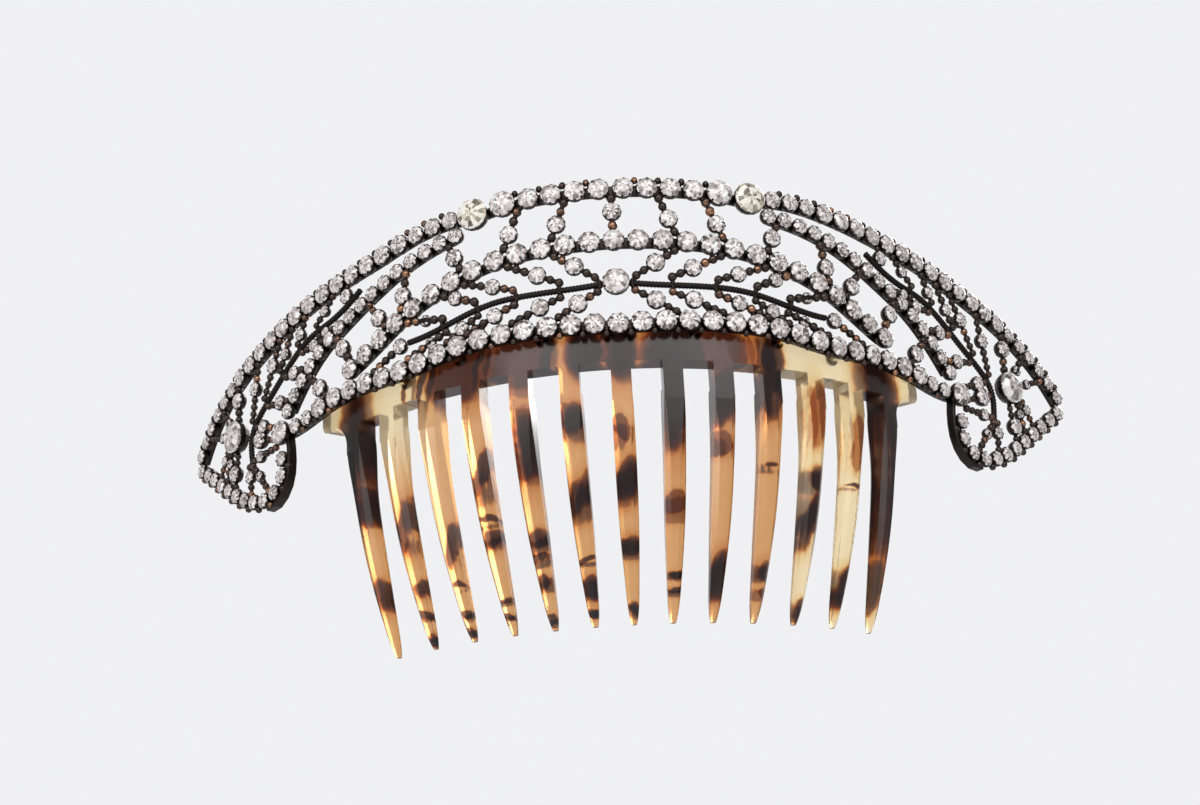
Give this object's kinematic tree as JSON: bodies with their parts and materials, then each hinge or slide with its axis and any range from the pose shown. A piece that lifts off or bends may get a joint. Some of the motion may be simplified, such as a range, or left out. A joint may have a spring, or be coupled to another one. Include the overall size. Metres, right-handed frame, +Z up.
{
  "type": "tiara comb",
  "caption": "Curved celluloid hair comb with a riveted, stone-set openwork metal crown band that ends in two drooping wings.",
  "frame": {"origin": "middle of the object's bounding box in plan, at the tips of the teeth", "axes": "+X to the wearer's left along the band, +Z up through the crown, -Y towards the show side, the wearer's head at +Y"},
  "size_m": [0.167, 0.0594, 0.0777],
  "materials": {
    "celluloid": "polished mottled celluloid in imitation of tortoiseshell, honey to dark brown, translucent",
    "band_metal": "blackened brass strip and wire, satin",
    "collet_metal": "blackened turned collets, satin with worn rims",
    "shot_beads": "blackened shot beads, a few worn back to copper colour",
    "rivet_metal": "dull brass rivets",
    "clear_paste": "foil-backed cut glass, near colourless with a pink-grey cast",
    "yellow_paste": "foil-backed cut glass, slightly yellowed"
  },
  "bodies": {
    "root": {"arch_collets": "collet_metal", "arch_rail": "band_metal", "arch_stones": "clear_paste", "bottom_collets": "collet_metal", "bottom_grains": "shot_beads", "bottom_rail": "band_metal", "bottom_stones": "clear_paste", "centre_spray_beads": "shot_beads", "centre_spray_collets": "collet_metal", "centre_spray_stones": "clear_paste", "centre_stem_left": "band_metal", "centre_stem_right": "band_metal", "collar_collets": "collet_metal", "collar_stones": "yellow_paste", "comb_body": "celluloid", "crown_collets": "collet_metal", "crown_grains": "shot_beads", "crown_stones": "clear_paste", "hub_collets": "collet_metal", "hub_stones": "clear_paste", "ladder_beads": "shot_beads", "lobe_collets": "collet_metal", "lobe_fan_beads_left": "shot_beads", "lobe_fan_beads_right": "shot_beads", "lobe_fan_collets_left": "collet_metal", "lobe_fan_collets_right": "collet_metal", "lobe_fan_stones_left": "clear_paste", "lobe_fan_stones_right": "clear_paste", "lobe_rim_collets_left": "collet_metal", "lobe_rim_collets_right": "collet_metal", "lobe_rim_grains": "shot_beads", "lobe_rim_left": "band_metal", "lobe_rim_right": "band_metal", "lobe_rim_stones_left": "clear_paste", "lobe_rim_stones_right": "clear_paste", "lobe_stones": "clear_paste", "lobe_wall_left": "band_metal", "lobe_wall_right": "band_metal", "post_collets": "collet_metal", "post_stones": "clear_paste", "rivet_pins": "rivet_metal", "top_rail": "band_metal", "wing_rail_collets_left": "collet_metal", "wing_rail_collets_right": "collet_metal", "wing_rail_left": "band_metal", "wing_rail_right": "band_metal", "wing_rail_stones_left": "clear_paste", "wing_rail_stones_right": "clear_paste", "wing_spray_beads_left": "shot_beads", "wing_spray_beads_right": "shot_beads", "wing_spray_collets_left": "collet_metal", "wing_spray_collets_right": "collet_metal", "wing_spray_stones_left": "clear_paste", "wing_spray_stones_right": "clear_paste", "wing_stem_left": "band_metal", "wing_stem_right": "band_metal"}
  },
  "joints": []
}
